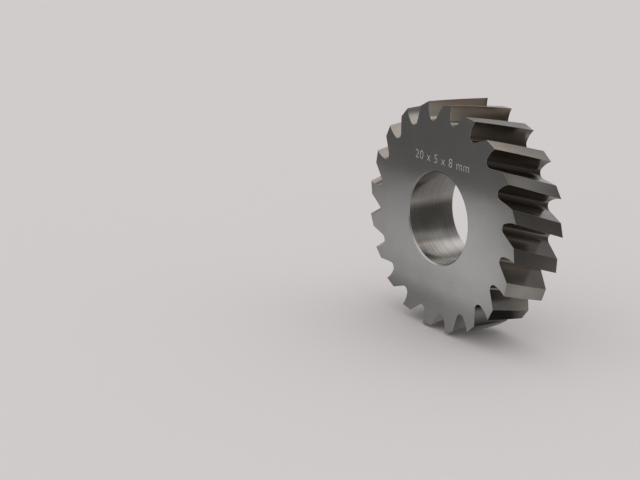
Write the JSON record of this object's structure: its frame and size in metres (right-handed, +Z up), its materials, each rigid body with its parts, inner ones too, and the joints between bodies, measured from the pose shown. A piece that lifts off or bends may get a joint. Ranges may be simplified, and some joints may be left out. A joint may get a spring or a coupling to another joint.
{
  "type": "carbide slitting saw",
  "caption": "Solid carbide slitting saw: a thick round disc with right-hand helical teeth round its rim and a plain bore for an arbor.",
  "frame": {"origin": "centre of the bore, halfway between the two side faces", "axes": "+Y along the spin axis from the marked front face to the back face, +Z up and +X to the right as seen from the front; two front tips sit either side of straight down"},
  "size_m": [0.02, 0.005, 0.02],
  "materials": {
    "carbide": "ground cemented carbide, dark grey with a satin sheen"
  },
  "bodies": {
    "root": {"slitting_saw": "carbide"}
  },
  "joints": []
}
